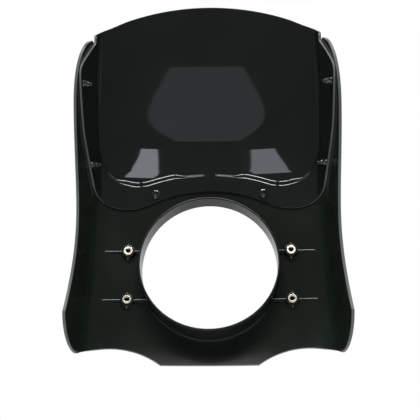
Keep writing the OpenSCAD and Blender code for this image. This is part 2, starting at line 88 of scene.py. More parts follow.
# The skin and its outlines
def ramp(u, r):
    """Zero below u = 0 and u above it, with a smooth turn of about r."""
    return (u + np.sqrt(u * u + r * r)) / 2


def mix(a, b, t):
    return a + (b - a) * t


def ease(t):
    return (1 - np.cos(np.pi * np.clip(t, 0, 1))) / 2


def root(v):
    return np.sqrt(np.maximum(v, 0))


def tan_deg(a):
    return math.tan(math.radians(a))


def nose_y(z):
    """Depth of the middle line: raked face, screen that leans back, curled chin."""
    rake = tan_deg(FACE_RAKE)
    return (-FACE_DEPTH + z * rake
            + (tan_deg(SCREEN_LEAN) - rake) * ramp(z - BROW_Z, BROW_BLEND)
            + (rake + tan_deg(CHIN_CURL)) * ramp(CHIN_Z - z, CHIN_BLEND))


def wall_x(z):
    """Half width at the end of the side bend."""
    return (WAIST_W / 2 + tan_deg(WING_SLOPE) * ramp(WING_Z - z, WING_BLEND)
            - tan_deg(CROWN_SLOPE) * ramp(z - CROWN_Z, CROWN_BLEND))


def bend_angle(z):
    return np.arcsin((wall_x(z) - BEND_R * math.sin(SIDE_ANGLE)) / (FRONT_R - BEND_R))


def bend_end(z):
    a1 = bend_angle(z)
    return FRONT_R * a1 + BEND_R * (SIDE_ANGLE - a1)


def skin(s, z):
    """Point of the inner skin at girth s and height z: front arc, bend and straight wall."""
    s, z = np.broadcast_arrays(np.asarray(s, float), np.asarray(z, float))
    a, a1 = np.abs(s), bend_angle(z)
    s1 = FRONT_R * a1
    s2 = s1 + BEND_R * (SIDE_ANGLE - a1)
    t1 = np.minimum(a, s1) / FRONT_R
    t2 = a1 + (np.clip(a, s1, s2) - s1) / BEND_R
    d = np.maximum(a - s2, 0)
    x = FRONT_R * np.sin(t1) + BEND_R * (np.sin(t2) - np.sin(a1)) + d * math.cos(SIDE_ANGLE)
    y = (nose_y(z) + FRONT_R * (1 - np.cos(t1)) + BEND_R * (np.cos(a1) - np.cos(t2))
         + d * math.sin(SIDE_ANGLE))
    return np.stack([np.where(s < 0, -x, x), y, z], -1)


def skin_normal(s, z):
    e = 0.05
    n = np.cross(skin(s + e, z) - skin(s - e, z), skin(s, z + e) - skin(s, z - e))
    return n / np.linalg.norm(n, axis=-1, keepdims=True)


def skin_at(s, z, off):
    return skin(s, z) + np.asarray(off, float)[..., None] * skin_normal(s, z)


SKIN_ROUNDS = 12


def skin_under(x, z, off=0.0):
    """Girth and height whose skin point, set off by off, lies at x and z."""
    s, h = np.array(x, float), np.array(z, float)
    for _ in range(SKIN_ROUNDS):
        p = skin_at(s, h, np.broadcast_to(off, s.shape))
        s = s + (x - p[..., 0])
        h = h + (z - p[..., 2])
    return s, h


CHIN_HALF = NOTCH_S - math.sqrt(NOTCH_R ** 2 - (NOTCH_R + BOTTOM_Z - NOTCH_Z) ** 2)
WING_TIP_Z = NOTCH_Z - NOTCH_R + math.sqrt(NOTCH_R ** 2 - (WING_TIP_S - NOTCH_S) ** 2)


def rim_s(z):
    """Girth of the side wall's free edge: wing, waist, arm and shoulder."""
    down = (WAIST_Z - z) / (WAIST_Z - NOTCH_Z - WING_RISE)
    low = mix(WAIST_S, WING_S, 1 - np.cos(np.pi / 2 * down))
    mid = mix(WAIST_S, ARM_S, ease((z - WAIST_Z) / (ARM_Z - WAIST_Z)))
    top = ARM_S - SHOULDER_R + root(SHOULDER_R ** 2 - (z - SHOULDER_Z) ** 2)
    return np.where(z < WAIST_Z, low, np.where(z < SHOULDER_Z, mid, top))


def bottom_edge(s):
    notch = NOTCH_Z - NOTCH_R + root(NOTCH_R ** 2 - (s - NOTCH_S) ** 2)
    wing = WING_TIP_Z + WING_R - root(WING_R ** 2 - (s - WING_TIP_S) ** 2)
    return np.where(s < CHIN_HALF, BOTTOM_Z, np.where(s < WING_TIP_S, notch, wing))


OPEN_TURN = math.asin((OPEN_S - OPEN_CORNER_R) / (OPEN_ARCH_R + OPEN_CORNER_R))
OPEN_CS = OPEN_S - OPEN_CORNER_R
OPEN_CZ = OPEN_Z - OPEN_ARCH_R + (OPEN_ARCH_R + OPEN_CORNER_R) * math.cos(OPEN_TURN)


def open_edge_z(s, off=0.0):
    arch = OPEN_Z - OPEN_ARCH_R + root((OPEN_ARCH_R + off) ** 2 - s * s)
    corner = OPEN_CZ - root((OPEN_CORNER_R - off) ** 2 - (s - OPEN_CS) ** 2)
    return np.where(s < OPEN_ARCH_R * math.sin(OPEN_TURN), arch, corner)


def open_edge_s(z, off=0.0):
    """The opening's side, which flares out a little towards the arm tips."""
    corner = OPEN_CS + root((OPEN_CORNER_R - off) ** 2 - (OPEN_CZ - z) ** 2)
    side = OPEN_S + OPEN_FLARE * ease((z - FLARE_Z) / FLARE_H)
    return np.where(z > OPEN_CZ, side - off, corner)


def open_corner_s(off=0.0):
    return OPEN_CS + (OPEN_CORNER_R - off) * math.sin(math.pi / 4)


def open_corner_z(off=0.0):
    return OPEN_CZ - (OPEN_CORNER_R - off) * math.cos(math.pi / 4)


def opening_depth(s, z):
    """Distance inside the opening's edge, negative outside it."""
    s = np.abs(s)
    arch_z = OPEN_Z - OPEN_ARCH_R
    side = OPEN_S + OPEN_FLARE * ease((z - FLARE_Z) / FLARE_H) - s
    corner = OPEN_CORNER_R - np.hypot(s - OPEN_CS, z - OPEN_CZ)
    arch = np.hypot(s, z - arch_z) - OPEN_ARCH_R
    left = (s - OPEN_CS) * (OPEN_CZ - arch_z) < (z - OPEN_CZ) * OPEN_CS
    low = np.where(left, arch, corner)
    high = np.where(s > OPEN_CS, side, np.minimum(side, arch))
    return np.where(z > OPEN_CZ, np.minimum(high, arch), low)


SCREEN_CZ = SCREEN_FOOT_Z + SCREEN_CORNER_R
SCREEN_TURN = math.acos((SCREEN_CZ - SCREEN_LOW_Z + SCREEN_ARCH_R)
                        / (SCREEN_ARCH_R + SCREEN_CORNER_R))
SCREEN_CS = (SCREEN_ARCH_R + SCREEN_CORNER_R) * math.sin(SCREEN_TURN)
SCREEN_SIDE_Z = SCREEN_CZ - SCREEN_CORNER_R * math.sin(SCREEN_SIDE_LEAN)
SCREEN_SIDE_S = SCREEN_CS + SCREEN_CORNER_R * math.cos(SCREEN_SIDE_LEAN)
CROWN_TURN = math.asin(SCREEN_CROWN_S / SCREEN_TOP_R)
CROWN_CS = SCREEN_CROWN_S - SCREEN_CROWN_R * math.sin(CROWN_TURN)
CROWN_CZ = (SCREEN_TOP_Z - SCREEN_TOP_R
            + (SCREEN_TOP_R - SCREEN_CROWN_R) * math.cos(CROWN_TURN))


def screen_top(s):
    return np.where(s < SCREEN_CROWN_S,
                    SCREEN_TOP_Z - SCREEN_TOP_R + root(SCREEN_TOP_R ** 2 - s * s),
                    CROWN_CZ + root(SCREEN_CROWN_R ** 2 - (s - CROWN_CS) ** 2))


SCREEN_TIP_Z = float(screen_top(np.float64(SCREEN_TOP_S)))


def screen_low(s):
    return np.where(s < SCREEN_ARCH_R * math.sin(SCREEN_TURN),
                    SCREEN_LOW_Z - SCREEN_ARCH_R + root(SCREEN_ARCH_R ** 2 - s * s),
                    SCREEN_CZ - root(SCREEN_CORNER_R ** 2 - (s - SCREEN_CS) ** 2))


def screen_side(z):
    corner = SCREEN_CS + root(SCREEN_CORNER_R ** 2 - (SCREEN_CZ - z) ** 2)
    side = (SCREEN_SIDE_S + (z - SCREEN_SIDE_Z) * math.tan(SCREEN_SIDE_LEAN)
            - ((math.tan(SCREEN_SIDE_LEAN) - math.tan(SCREEN_ARM_LEAN))
               * ramp(z - SCREEN_KNEE_Z, KNEE_BLEND)))
    shoulder = SHOULDER_S + (SCREEN_TIP_Z - z) / math.tan(SCREEN_SHOULDER)
    return np.where(z < SCREEN_SIDE_Z, corner,
                    np.maximum(side - ramp(side - shoulder, SHOULDER_BLEND), SCREEN_TOP_S))


SCREEN_CORNER_S = SCREEN_CS + SCREEN_CORNER_R * math.sin(math.pi / 4)
SCREEN_CORNER_Z = SCREEN_CZ - SCREEN_CORNER_R * math.cos(math.pi / 4)
FLANGE_OFF = -FLANGE_GAP - SCREEN_WALL
PANE_OFF = SHELL_WALL - SCREEN_WALL


# Meshes
def stations(marks, counts):
    """Values from mark to mark, with each part cut into its count of steps."""
    out = []
    for a, b, n in zip(marks, marks[1:], counts):
        out += [mix(a, b, k / n) for k in range(n)]
    return out + [marks[-1]]


class Patchwork:
    """Collects grids of points in millimetres and welds them into one mesh."""

    def __init__(self):
        self.points, self.quads, self.slots = [], [], []

    def grid(self, p, flip=False, slot=0):
        p = np.asarray(p, float)
        rows, cols = p.shape[:2]
        base = sum(len(q) for q in self.points)
        self.points.append(p.reshape(-1, 3))
        j, i = np.meshgrid(np.arange(rows - 1), np.arange(cols - 1), indexing="ij")
        a = base + (j * cols + i).ravel()
        quad = np.stack([a, a + 1, a + cols + 1, a + cols], 1)
        self.quads.append(quad[:, ::-1] if flip else quad)
        self.slots.append(np.full(len(quad), slot))

    def both(self, p, flip=False, slot=0):
        """The grid and its mirror image across the middle."""
        p = np.asarray(p, float)
        self.grid(p, flip, slot)
        self.grid(p * np.array([-1.0, 1.0, 1.0]), not flip, slot)

    def build(self, name, weld=0.002):
        mesh = bpy.data.meshes.new(name)
        mesh.from_pydata((np.concatenate(self.points) * MM).tolist(), [],
                         np.concatenate(self.quads).tolist())
        mesh.polygons.foreach_set("material_index", np.concatenate(self.slots).astype(int))
        bm = bmesh.new()
        bm.from_mesh(mesh)
        bmesh.ops.remove_doubles(bm, verts=bm.verts, dist=weld * MM)
        bmesh.ops.dissolve_degenerate(bm, edges=bm.edges, dist=weld * MM)
        bmesh.ops.recalc_face_normals(bm, faces=bm.faces)
        loose = [v for v in bm.verts if not v.link_faces]
        bmesh.ops.delete(bm, geom=loose, context="VERTS")
        bm.to_mesh(mesh)
        bm.free()
        mesh.polygons.foreach_set("use_smooth", [True] * len(mesh.polygons))
        obj = bpy.data.objects.new(name, mesh)
        bpy.context.scene.collection.objects.link(obj)
        return obj


def rounded(obj, width):
    """Rounds the sharp edges and weighs the normals, so that broad faces stay clean."""
    bevel = obj.modifiers.new("round", "BEVEL")
    bevel.width = width * MM
    bevel.segments = 3
    bevel.limit_method = "ANGLE"
    bevel.angle_limit = math.radians(50)
    bevel.use_clamp_overlap = True
    normals = obj.modifiers.new("normals", "WEIGHTED_NORMAL")
    normals.weight = 80
    return obj


def finish_piece(obj, node, slot, *materials):
    # Clearing the list would reset the faces, so the materials are only added
    for material in materials:
        obj.data.materials.append(material)
    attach(obj, "root")
    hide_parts(node)
    return obj


# Materials
def new_material(name):
    mat = bpy.data.materials.new(name)
    mat.use_nodes = True
    return mat, mat.node_tree.nodes, mat.node_tree.links


def noise(nodes, links, place, scale, detail):
    texture = nodes.new("ShaderNodeTexNoise")
    texture.inputs["Scale"].default_value = scale
    texture.inputs["Detail"].default_value = detail
    links.new(place.outputs["Object"], texture.inputs["Vector"])
    return texture.outputs["Fac"]


def tinted(nodes, links, fac, color, shades, band):
    """The colour times one of two shades, and between them across the band of fac."""
    ramp_node = nodes.new("ShaderNodeValToRGB")
    for element, shade, at in zip(ramp_node.color_ramp.elements, shades, band):
        element.position = at
        element.color = (*[c * shade for c in color], 1)
    links.new(fac, ramp_node.inputs["Fac"])
    return ramp_node.outputs["Color"]


def ranged(nodes, links, fac, band, low, high):
    span = nodes.new("ShaderNodeMapRange")
    for socket, value in zip(("From Min", "From Max", "To Min", "To Max"), (*band, low, high)):
        span.inputs[socket].default_value = value
    links.new(fac, span.inputs["Value"])
    return span.outputs["Result"]


def bumped(nodes, links, fac, strength, distance):
    bump = nodes.new("ShaderNodeBump")
    bump.inputs["Strength"].default_value = strength
    bump.inputs["Distance"].default_value = distance
    links.new(fac, bump.inputs["Height"])
    return bump.outputs["Normal"]


def plastic(name, color, roughness, specular, grain, grain_scale, smudge):
    """Moulded plastic: a fine grain in the bump and faint smudges in the roughness."""
    mat, nodes, links = new_material(name)
    shader, place = nodes["Principled BSDF"].inputs, nodes.new("ShaderNodeTexCoord")
    shader["Specular IOR Level"].default_value = specular
    broad, band = noise(nodes, links, place, 14.0, 4.0), (0.3, 0.7)
    fine = noise(nodes, links, place, grain_scale, 3.0)
    links.new(tinted(nodes, links, broad, color, (0.86, 1.12), band), shader["Base Color"])
    links.new(ranged(nodes, links, broad, band, roughness, roughness + smudge), shader["Roughness"])
    links.new(bumped(nodes, links, fine, grain, 0.0002), shader["Normal"])
    return mat


def metal(name, color, roughness, scratch):
    """Plated metal: one fine noise in the colour, the roughness and the bump."""
    mat, nodes, links = new_material(name)
    shader, place = nodes["Principled BSDF"].inputs, nodes.new("ShaderNodeTexCoord")
    shader["Metallic"].default_value = 1.0
    fine = noise(nodes, links, place, 420.0, 5.0)
    links.new(tinted(nodes, links, fine, color, (0.8, 1.0), (0.35, 0.65)), shader["Base Color"])
    rough = ranged(nodes, links, fine, (0.0, 1.0), roughness, roughness + 0.04)
    links.new(rough, shader["Roughness"])
    links.new(bumped(nodes, links, fine, scratch, 0.0001), shader["Normal"])
    return mat


SHELL_BLACK = plastic("shell_black", (0.0080, 0.0118, 0.0088), 0.15, 0.24, 0.02, 900.0, 0.08)
# Light grey of the trimmed cut edges; on the rib tops the same grey is a painted highlight
TRIMMED_EDGE_AND_RIB_HIGHLIGHT = plastic("shell_trimmed_edge_and_painted_rib_highlight", (0.105, 0.115, 0.108), 0.24, 0.45, 0.06, 1800.0, 0.12)
SMOKE = plastic("smoked_acrylic", (0.0070, 0.0104, 0.0086), 0.015, 0.42, 0.0, 900.0, 0.01)
SCREEN_EDGE = plastic("screen_cut_edge", (0.15, 0.16, 0.16), 0.16, 0.6, 0.04, 1800.0, 0.10)
NICKEL = metal("nickel_plate", (0.84, 0.80, 0.69), 0.22, 0.05)
# Dark brown metal for the inserts' threaded bores: painted shade in the holes
BORE_PAINTED_SHADE = metal("insert_bore_painted_shade", (0.17, 0.12, 0.07), 0.30, 0.05)
# Zinc plate made far darker than zinc: painted shade for the dark cowl the nuts and washers mirror
ZINC_PAINTED_DARK = metal("zinc_plate_painted_dark", (0.17, 0.17, 0.175), 0.02, 0.01)
BLACK_ZINC = metal("black_zinc", (0.10, 0.10, 0.105), 0.12, 0.06)
NYLON = plastic("black_nylon", (0.016, 0.016, 0.016), 0.45, 0.4, 0.15, 1500.0, 0.1)


# Shell: two skins, a collar and the cut edges between them
def body_z(s, t):
    """Height at share t of the way from the bottom edge to the seam under the arms."""
    seam = np.where(s < open_corner_s(), open_edge_z(s), open_corner_z())
    return mix(bottom_edge(s), seam, t)


SETTLE_ROUNDS = 40


def settle(columns, height, start):
    """Point where a column, s of z, meets a row, z of s."""
    z = np.array(start, float)
    for _ in range(SETTLE_ROUNDS):
        z = mix(z, height(columns(z)), 0.5)
    s = columns(z)
    return s, height(s)


BODY_ROWS, ARM_ROWS = 60, 56
SIDE_COLS, CHIN_COLS, ARCH_COLS = (26, 12), (20, 24), (28, 18)
COLLAR_ROWS, COLLAR_GATHER = 22, 1.15
FILLET_R, EDGE_ROWS = 2.0, 4
UNDER_OPENING_Z = 95.0


def inner_side(z, t):
    return mix(NOTCH_S, open_corner_s(), t) + 0 * z


def body_side_grid():
    """Grid of the side part of the body, from the inner column out to the rim."""
    rows = []
    for t in np.linspace(0, 1, BODY_ROWS + 1):
        row = []
        for k in range(SIDE_COLS[0] + SIDE_COLS[1] + 1):
            def columns(z, t=t, k=k):
                k2, k4 = inner_side(z, t), rim_s(z)
                k3 = mix(WING_TIP_S, bend_end(z), min(1, 2 * t))
                if k <= SIDE_COLS[0]:
                    return mix(k2, k3, k / SIDE_COLS[0])
                return mix(k3, k4, (k - SIDE_COLS[0]) / SIDE_COLS[1])
            s, z = settle(columns, lambda s, t=t: body_z(s, t), mix(NOTCH_Z, open_corner_z(), t))
            row.append((float(s), float(z)))
        rows.append(row)
    return np.array(rows)


def arm_grid():
    rows = []
    for t in np.linspace(0, 1, ARM_ROWS + 1):
        z = mix(open_corner_z(), TIP_Z, t)
        k2, k4 = open_edge_s(z), rim_s(z)
        k3 = mix(k2, k4, np.clip((bend_end(z) - k2) / (k4 - k2), 0.25, 0.6))
        s = stations([k2, k3, k4], SIDE_COLS)
        rows.append([(float(v), float(z)) for v in s])
    return np.array(rows)


def lay(grid, off):
    return skin_at(grid[..., 0], grid[..., 1], np.full(grid.shape[:-1], float(off)))


def edge_strip(work, line):
    """The cut edge along a line of [s, z], from the inner to the outer skin."""
    work.both(np.stack([lay(line, o) for o in np.linspace(0, SHELL_WALL, EDGE_ROWS)]), slot=1)


def hole_ring(side):
    """Outline of the middle part, as a closed loop of [s, z], anticlockwise from the right."""
    right = side[:, 0, :]
    k2_low, k2_high = right[0, 0], right[-1, 0]
    low = stations([0.0, CHIN_HALF, k2_low], CHIN_COLS)
    bottom = np.array([(s, float(bottom_edge(np.float64(s)))) for s in low])
    high = stations([0.0, OPEN_ARCH_R * math.sin(OPEN_TURN), k2_high], ARCH_COLS)
    top = np.array([(s, float(open_edge_z(np.float64(s)))) for s in high])
    half = np.concatenate([bottom, right[1:-1], top[::-1]])
    left = half[::-1] * np.array([-1.0, 1.0])
    return np.concatenate([half, left[1:]])


def collar_rows(theta):
    """Rows of points from the fillet's foot over the collar's rim to the bore's front edge."""
    c, sn = np.cos(theta), np.sin(theta)
    wall_r = BORE_R + COLLAR_WALL
    foot_r = wall_r + FILLET_R

    def ring(r, y):
        return np.stack([r * c, y + 0 * c, r * sn], -1)

    s, z = skin_under(foot_r * c, foot_r * sn)
    foot_y = skin(s, z)[..., 1]
    s2, z2 = skin_under((foot_r + 1) * c, (foot_r + 1) * sn)
    slope = skin(s2, z2)[..., 1] - foot_y
    rows = []
    for a in np.linspace(0, math.pi / 2, 9):
        r = foot_r - FILLET_R * math.sin(a)
        rows.append(ring(r, foot_y + FILLET_R * (1 - math.cos(a))
                         + slope * (r - foot_r) * math.cos(a)))
    wall_foot = foot_y + FILLET_R
    for t in (0.33, 0.66, 1.0):
        rows.append(ring(wall_r, mix(wall_foot, -RIM_ROUND, t)))
    for a in np.linspace(0, math.pi / 2, 5)[1:]:
        rows.append(ring(wall_r - RIM_ROUND * (1 - math.cos(a)), -RIM_ROUND * (1 - math.sin(a))))
    for a in np.linspace(0, math.pi / 2, 5):
        rows.append(ring(BORE_R + RIM_ROUND * (1 - math.sin(a)), -RIM_ROUND * (1 - math.cos(a))))
    s, z = skin_under(BORE_R * c, BORE_R * sn, SHELL_WALL)
    front_y = skin_at(s, z, np.full(s.shape, SHELL_WALL))[..., 1]
    for t in np.linspace(0, 1, 7)[1:]:
        rows.append(ring(BORE_R, mix(-RIM_ROUND, front_y, t)))
    return rows


def make_shell():
    work = Patchwork()
    side, arm = body_side_grid(), arm_grid()
    for grid in (side, arm):
        work.both(lay(grid, 0))
        work.both(lay(grid, SHELL_WALL), flip=True)
    loop = hole_ring(side)
    theta = np.arctan2(loop[:, 1], loop[:, 0])
    t = np.linspace(0, 1, COLLAR_ROWS)[:, None, None] ** COLLAR_GATHER
    for radius, off in ((BORE_R + COLLAR_WALL + FILLET_R, 0.0), (BORE_R, SHELL_WALL)):
        round_hole = np.stack(skin_under(radius * np.cos(theta), radius * np.sin(theta), off), -1)
        work.grid(lay(mix(round_hole[None], loop[None], t), off), flip=off > 0)
    work.grid(np.stack(collar_rows(theta)))
    # Cut edges: bottom, rims, arm tips, and the opening's sides and arch
    edge_strip(work, np.concatenate([loop[:sum(CHIN_COLS) + 1], side[0, 1:]]))
    edge_strip(work, np.concatenate([side[:, -1], arm[1:, -1]]))
    edge_strip(work, arm[-1])
    edge_strip(work, arm[:, 0])
    edge_strip(work, np.array([p for p in loop[:len(loop) // 2 + 1]
                               if p[1] > UNDER_OPENING_Z and p[0] < open_corner_s() + 1e-6]))
    return rounded(work.build("cowl_shell_moulding"), 0.45)


finish_piece(make_shell(), "cowl_shell", "moulded_shell", SHELL_BLACK, TRIMMED_EDGE_AND_RIB_HIGHLIGHT)


# Windscreen
STEP_CELLS = 16
PANE_COLS, PANE_ROWS = 44, 56
FLANGE_COLS, FLANGE_ROWS = (8, 8), 10
START_S, SCREEN_ROUNDS = 60.0, 60


def spread(z):
    """What the step gains in width towards the top."""
    fade = np.clip((z - STEP_FADE_Z) / (SCREEN_TIP_Z - STEP_FADE_Z), 0, 1)
    return STEP_SPREAD * fade * fade


def screen_columns(z):
    step_in = STEP_GAP + STEP_W
    k1 = np.where(z > open_corner_z(step_in), open_edge_s(z, step_in) - spread(z),
                  open_corner_s(step_in))
    k2 = np.where(z > open_corner_z(STEP_GAP), open_edge_s(z, STEP_GAP), open_corner_s(STEP_GAP))
    k4 = np.where(z > SCREEN_CORNER_Z, screen_side(z), SCREEN_CORNER_S)
    k2 = np.minimum(k2, mix(k1, k4, 0.8))
    k3 = mix(k2, k4, 0.4)
    return stations([0 * k1, k1, k2, k3, k4], (PANE_COLS, STEP_CELLS, *FLANGE_COLS))


def step_row_z(s, off):
    return np.where(s < open_corner_s(off), open_edge_z(s, off), open_corner_z(off))


def screen_rows(s):
    low = np.where(s < SCREEN_CORNER_S, screen_low(s), SCREEN_CORNER_Z)
    z2, z1 = step_row_z(s, STEP_GAP), step_row_z(s, STEP_GAP + STEP_W)
    top = screen_top(np.minimum(s, SCREEN_TOP_S))
    return stations([low, z2, z1, top], (FLANGE_ROWS, STEP_CELLS, PANE_ROWS))


def screen_grid():
    """Points [s, z] where the sheet's columns meet its rows, found in rounds."""
    cols = PANE_COLS + STEP_CELLS + sum(FLANGE_COLS) + 1
    rows = FLANGE_ROWS + STEP_CELLS + PANE_ROWS + 1
    z = np.stack(screen_rows(np.full(cols, START_S)))
    row, col = np.indices((rows, cols))
    for _ in range(SCREEN_ROUNDS):
        s = np.stack(screen_columns(z))[col, row, col]
        target = np.stack(screen_rows(s))[row, row, col]
        z = mix(z, target, 0.5)
    return np.stack([s, target], -1)


def step_width(s):
    """The step is soft beside the arch, and crisp at its crown and up the sides."""
    s, (a, b, c, d) = np.abs(s), STEP_SOFT_S
    return mix(STEP_CRISP, STEP_W, ease((s - a) / (b - a)) * (1 - ease((s - c) / (d - c))))


def screen_lift(s, z):
    """Offset of the sheet's inner face: pushed out to the shell's face inside the opening."""
    share = ease((opening_depth(s, z) - STEP_GAP) / (step_width(s) + spread(z)))
    return mix(FLANGE_OFF, PANE_OFF, share)


def make_screen():
    work = Patchwork()
    grid = screen_grid()
    lift = screen_lift(grid[..., 0], grid[..., 1])
    inner = skin_at(grid[..., 0], grid[..., 1], lift)
    outer = skin_at(grid[..., 0], grid[..., 1], lift + SCREEN_WALL)
    work.both(inner)
    work.both(outer, flip=True)
    for rows in ((0, slice(None)), (-1, slice(None)), (slice(None), -1)):
        line, base = grid[rows], lift[rows]
        strip = np.stack([skin_at(line[:, 0], line[:, 1], base + o)
                          for o in np.linspace(0, SCREEN_WALL, 3)])
        work.both(strip, slot=1)
    return rounded(work.build("windscreen_sheet"), 0.3)


finish_piece(make_screen(), "windscreen", "smoked_screen", SMOKE, SCREEN_EDGE)


# Turned and threaded parts, built along +Z and then laid in place
TURN = 48
TURN_A = np.linspace(0, 2 * math.pi, TURN + 1)


def ring(r, z):
    r = r + 0 * TURN_A
    return np.stack([r * np.cos(TURN_A), r * np.sin(TURN_A), z + 0 * TURN_A], -1)


def hexagon(width):
    """Radius of a hexagon at every angle of a ring, with a corner at angle 0."""
    return width / 2 / np.cos((TURN_A + math.pi / 6) % (math.pi / 3) - math.pi / 6)


def thread(z0, z1, crest, root_r, pitch, fade=(1.0, 1.0)):
    """Rings of a helical thread from z0 to z1, which runs out over fade pitches at its ends."""
    count = max(4, int(round(abs(z1 - z0) / pitch * 7)))
    rows = []
    for z in np.linspace(z0, z1, count + 1):
        turn = (z / pitch - TURN_A / (2 * math.pi)) % 1.0
        height = np.clip(1.35 * (1 - np.abs(2 * turn - 1)) - 0.1, 0, 1)
        ends = min(1.0, abs(z - z0) / pitch / fade[0], abs(z1 - z) / pitch / fade[1])
        rows.append(ring(root_r + (crest - root_r) * height * ends, z))
    return rows


def on_skin(site):
    """Place and turn that lay a part's Z axis along the skin's own direction at a site."""
    n, at = skin_normal(*site), skin(*site)
    tilt, turn = math.acos(n[2]), math.atan2(n[1], n[0])
    ct, st, cp, sp = math.cos(tilt), math.sin(tilt), math.cos(turn), math.sin(turn)
    return at, np.array([[cp * ct, -sp, cp * st], [sp * ct, cp, sp * st], [-st, 0.0, ct]])


def facing_rider(x, y, z):
    """Place and turn that lay a part's Z axis along +Y."""
    return np.array([x, y, z]), np.array([[1.0, 0, 0], [0, 0, 1.0], [0, -1.0, 0]])


def screw_sites():
    out = []
    front_z = float(open_edge_z(np.float64(FRONT_SCREW_S))) - FRONT_SCREW_INSET
    for sx in (-1, 1):
        for h, inset in zip(SIDE_SCREW_Z, SIDE_SCREW_INSET):
            out.append((sx * (float(screen_side(np.float64(h))) - inset), h))
        out.append((sx * FRONT_SCREW_S, front_z))
    return out


def seat_rise(site, off, way):
    """How far a flat washer stands off the curved face at off, so that it clears it all round."""
    n, p, most = skin_normal(*site), skin_at(*site, np.float64(off)), -1e9
    for a in np.radians(np.arange(0, 360, 30)):
        q = skin_at(site[0] + WASHER_D / 2 * math.cos(a), site[1] + WASHER_D / 2 * math.sin(a),
                    np.float64(off))
        most = max(most, way * float((q - p) @ n))
    return SEAT_GAP + most


def head_seat(site):
    return SHELL_WALL + max(SEAT_GAP, seat_rise(site, SHELL_WALL, 1))


def nut_seat(site):
    return FLANGE_OFF - max(SEAT_GAP, seat_rise(site, FLANGE_OFF, -1))


SITES = screw_sites()


def screw_rows(z0, z1):
    """Button head with a hexagon socket on top of a threaded shank that ends at z1."""
    dome_h = HEAD_H * 0.8
    dome_r = ((HEAD_D / 2) ** 2 + dome_h ** 2) / (2 * dome_h)
    socket, head, shank, top = hexagon(SOCKET_W), HEAD_D / 2, SCREW_D / 2, z0 + HEAD_H
    floor_z = z0 + HEAD_H * 0.4
    rows = [ring(0.0, floor_z), ring(socket, floor_z), ring(socket, top - 0.35),
            ring(np.maximum(socket, SOCKET_W * 0.6) + 0.12, top - 0.12)]
    for r in np.linspace(SOCKET_W * 0.72, head - 0.12, 9):
        rows.append(ring(r, top - dome_r + math.sqrt(dome_r ** 2 - r * r)))
    rows += [ring(head - 0.02, z0 + 0.42), ring(head - 0.02, z0 + 0.12),
             ring(head - 0.15, z0), ring(shank, z0)]
    rows += thread(z0 - 1.0, z1 + 0.5, shank, shank - SCREW_CUT, SCREW_PITCH, (0.5, 0.6))
    rows += [ring(shank - 0.75, z1), ring(0.0, z1)]
    return rows


def washer_rows(z0, bore):
    """Washer from z0 upwards, with a rounded rim and a chamfered hole."""
    r, edge, round_r, high = WASHER_D / 2, 0.18, WASHER_H / 2, z0 + WASHER_H
    rows = [ring(bore, z0 + edge), ring(bore + edge, z0)]
    for a in np.radians(np.arange(-90, 91, 15)):
        rows.append(ring(r - round_r * (1 - math.cos(a)), z0 + round_r * (1 + math.sin(a))))
    rows += [ring(bore + edge, high), ring(bore, high - edge), ring(bore, z0 + edge)]
    return rows


def nut_rows(z0):
    """Locking nut that hangs below z0: a chamfered hexagon and a crowned collar with its ring."""
    hexa, flat = hexagon(NUT_W), NUT_W / 2 * 0.97
    drop = np.maximum(0, hexa - flat) * 0.58
    bore = SCREW_D / 2 + 0.05
    low, collar, crown = z0 - NUT_H, NUT_W * 0.45, 0.5
    end = low - NUT_COLLAR_H
    rows = [ring(bore, z0 - 0.5), ring(bore + 0.45, z0), ring(flat, z0), ring(hexa, z0 - drop),
            ring(hexa, low + drop), ring(flat, low), ring(collar + 0.15, low),
            ring(collar, low - 0.12)]
    for a in np.linspace(0, math.pi / 2, 5):
        rows.append(ring(collar - crown * (1 - math.cos(a)), end + crown - crown * math.sin(a)))
    rows += [ring(bore + 0.25, end + 0.02), ring(bore, end + 0.3)]
    rows += [ring(bore, low), ring(bore, z0 - 0.5)]
    return rows


def insert_rows():
    """Plated outside of an insert and its threaded bore in painted shade; z = 0 is the boss face.
    """
    r, bore, barrel = INSERT_FLANGE_D / 2, INSERT_BORE_D / 2, INSERT_D / 2
    high, edge, groove = INSERT_FLANGE_H, 0.28, INSERT_BORE_D / 2 + INSERT_CUT
    rows = [ring(barrel, -INSERT_LEN), ring(barrel, -0.01), ring(r - 0.1, 0), ring(r, 0.12)]
    rows += [ring(r - edge * (1 - math.cos(a)), high - edge + edge * math.sin(a))
             for a in np.linspace(0, math.pi / 2, 5)]
    rows += [ring(bore + 0.95, high), ring(bore + 0.8, high - 0.06), ring(groove, high - 0.5)]
    inside = [rows[-1]]
    inside += thread(high - 0.6, 0.3 - INSERT_LEN, groove, bore, INSERT_PITCH, (0.3, 0.3))
    inside += [ring(bore + 0.3, -INSERT_LEN), ring(barrel, -INSERT_LEN)]
    return rows, inside


def piece_of(name, node, slot, materials, parts):
    """One piece out of parts, each a list of rings with its place and material's number."""
    work = Patchwork()
    for rows, (at, turn), number in parts:
        work.grid(np.stack(rows) @ turn.T + at, slot=number)
    obj = work.build(name, weld=0.001)
    normals = obj.modifiers.new("normals", "WEIGHTED_NORMAL")
    normals.keep_sharp = True
    split = obj.modifiers.new("edges", "EDGE_SPLIT")
    split.split_angle = math.radians(32)
    return finish_piece(obj, node, slot, *materials)


INSERT_SITES = [(sx * INSERT_DX / 2, INSERT_Z + sz * INSERT_DZ / 2)
                for sx in (-1, 1) for sz in (-1, 1)]


def boss_face_y(z):
    return float(skin(np.float64(INSERT_DX / 2), np.float64(z))[1]) + BOSS_H


SCREW_PAST_SEAT = WASHER_H + NUT_H + NUT_COLLAR_H + THREAD_OUT
WASHER_BORE = SCREW_D / 2 + 0.25

